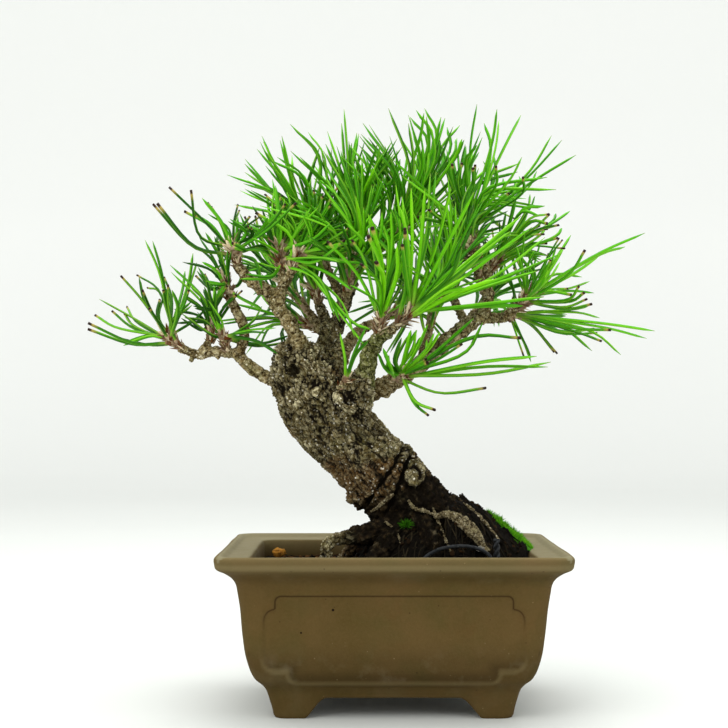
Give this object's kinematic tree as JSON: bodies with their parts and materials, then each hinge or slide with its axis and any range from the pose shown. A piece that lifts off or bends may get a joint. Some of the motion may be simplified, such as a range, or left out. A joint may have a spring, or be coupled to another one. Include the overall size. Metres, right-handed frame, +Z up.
{
  "type": "bonsai tree in a pot",
  "caption": "Pine bonsai with a thick slanting fissured trunk and green needle tufts in a footed brown clay pot with soil and moss",
  "frame": {"origin": "bottom centre of the bounding box", "axes": "+X to the viewer's right, +Y away from the front of the pot, +Z up along the tree's height"},
  "size_m": [0.2274, 0.1412, 0.239],
  "materials": {
    "clay": "matte",
    "bark": "matte",
    "young_bark": "matte",
    "needles": "satin",
    "soil": "matte",
    "grit": "matte",
    "moss": "matte",
    "ochre_stone": "matte",
    "grey_stone": "matte",
    "black_wire": "satin",
    "black_mesh": "matte"
  },
  "bodies": {
    "root": {"pot": "clay", "drain_mesh_left": "black_mesh", "drain_mesh_right": "black_mesh", "mesh_clip_left": "black_wire", "mesh_clip_right": "black_wire", "drainage_grit": "grit", "soil": "soil", "moss_cushion": "moss", "moss_tuft": "moss", "ochre_pebble": "ochre_stone", "grey_stone": "grey_stone", "tie_wire": "black_wire", "trunk": "bark", "left_branch": "young_bark", "upper_left_branch": "young_bark", "centre_branch": "young_bark", "front_branch": "young_bark", "right_branch": "young_bark", "crown_branch": "young_bark", "back_branch": "young_bark", "needles_left_tip": "needles", "needles_left_knob": "needles", "needles_left_crook": "needles", "needles_left_upright": "needles", "needles_left_shoulder": "needles", "needles_left_scales": "needles", "needles_middle_scales": "needles", "needles_centre": "needles", "needles_crown_left": "needles", "needles_crown_middle": "needles", "needles_crown_right": "needles", "needles_crown_front": "needles", "needles_crown_back": "needles", "needles_middle_right": "needles", "needles_apex": "needles", "needles_apex_right": "needles", "needles_apex_front": "needles", "needles_right_tip": "needles", "needles_right_low": "needles", "needles_front_low": "needles", "needles_front_fan_left": "needles", "needles_front_fan_right": "needles", "needles_trunk_pair": "needles", "needles_back_low": "needles", "needles_back_low_left": "needles", "needles_back_low_right": "needles", "needles_back_upper_left": "needles", "needles_back_upper_right": "needles"}
  },
  "joints": []
}
